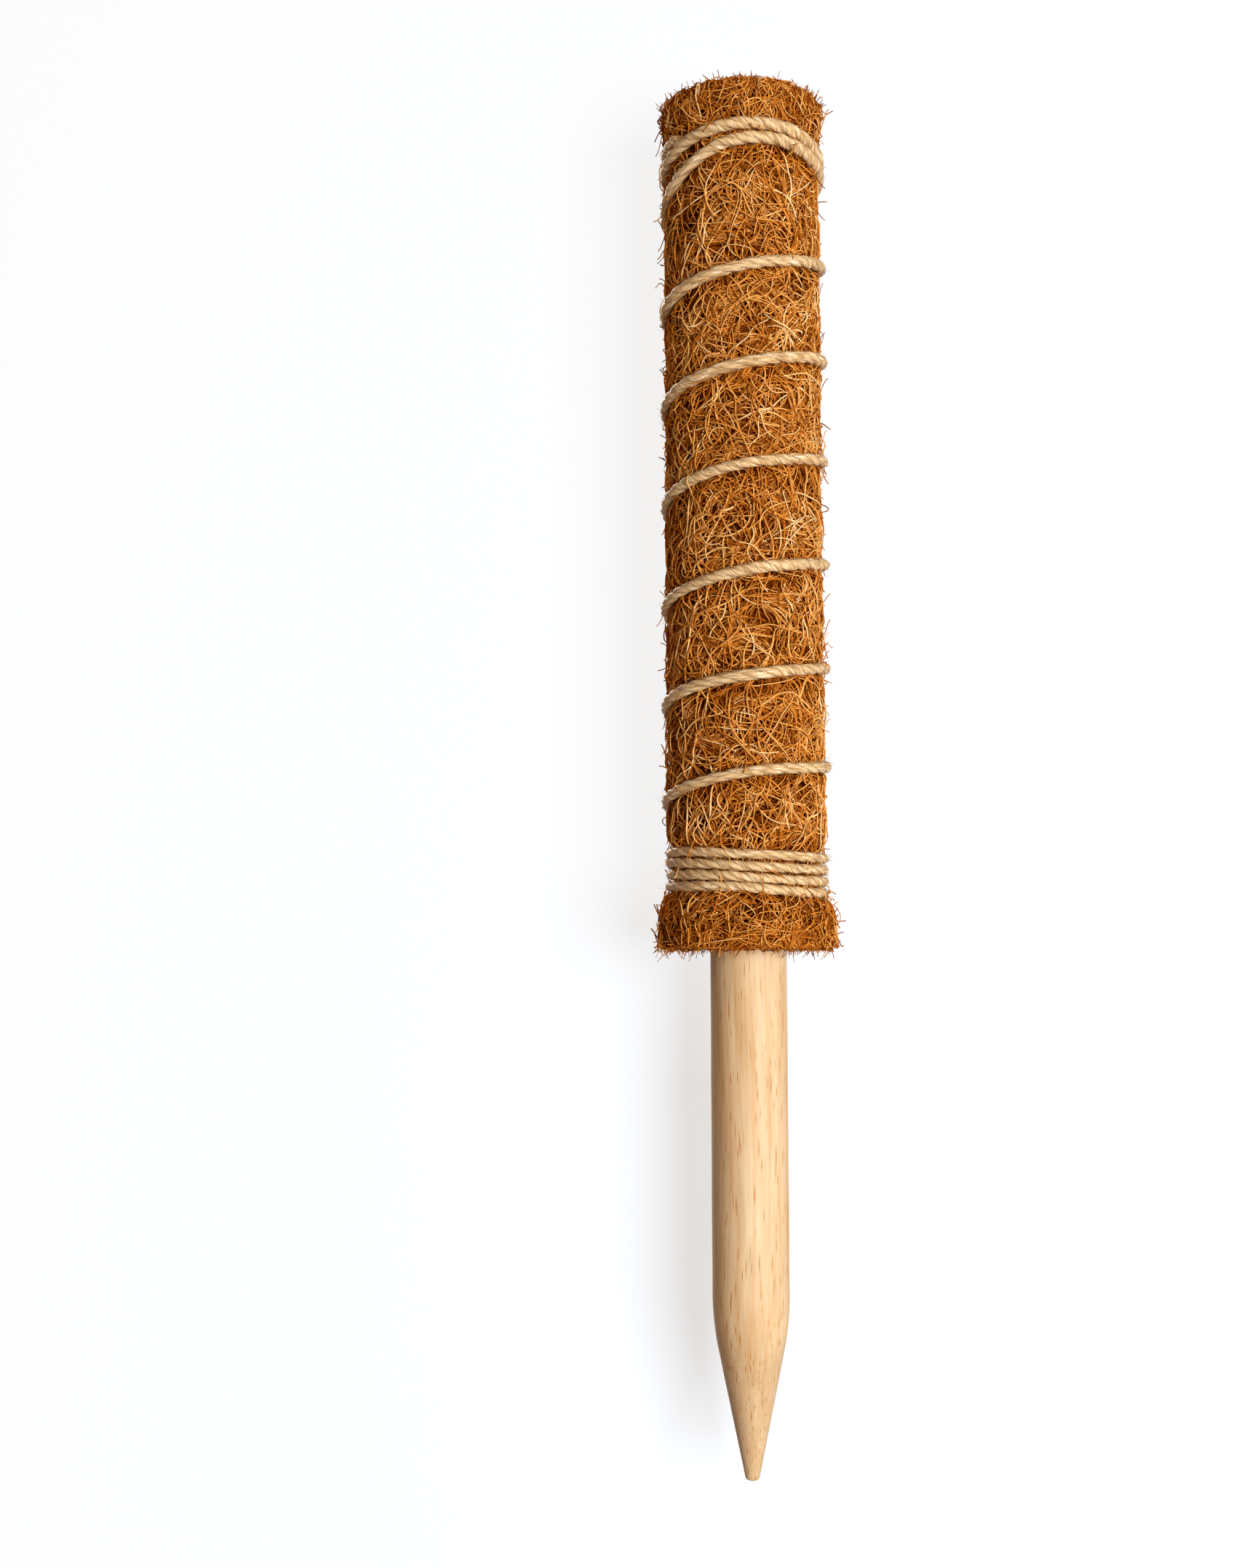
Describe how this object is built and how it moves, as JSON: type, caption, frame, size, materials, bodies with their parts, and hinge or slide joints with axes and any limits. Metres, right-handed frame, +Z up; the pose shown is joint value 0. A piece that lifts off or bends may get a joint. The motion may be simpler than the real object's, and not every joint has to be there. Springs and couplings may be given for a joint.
{
  "type": "moss pole",
  "caption": "Upright plant support: a pointed wooden stake wrapped in a rolled coir fibre mat that is bound with a spiral of jute twine, pushed into a pot so that climbing plants can root into it.",
  "frame": {"origin": "on the stake's axis at the soil line, level with the coir mat's lower rim", "axes": "+Z up along the stake, away from its point; -Y is the front that the picture shows, +X is to the right of it"},
  "size_m": [0.05, 0.05, 0.4],
  "materials": {
    "stake_wood": "satin",
    "coir_fibre": "matte",
    "jute_twine": "matte",
    "staple_steel": "satin"
  },
  "bodies": {
    "root": {"stake": "stake_wood", "coir_mat": "coir_fibre", "twine": "jute_twine", "mat_staple_lower": "staple_steel", "mat_staple_middle": "staple_steel", "mat_staple_upper": "staple_steel", "twine_staple_lower": "staple_steel", "twine_staple_upper": "staple_steel"}
  },
  "joints": []
}
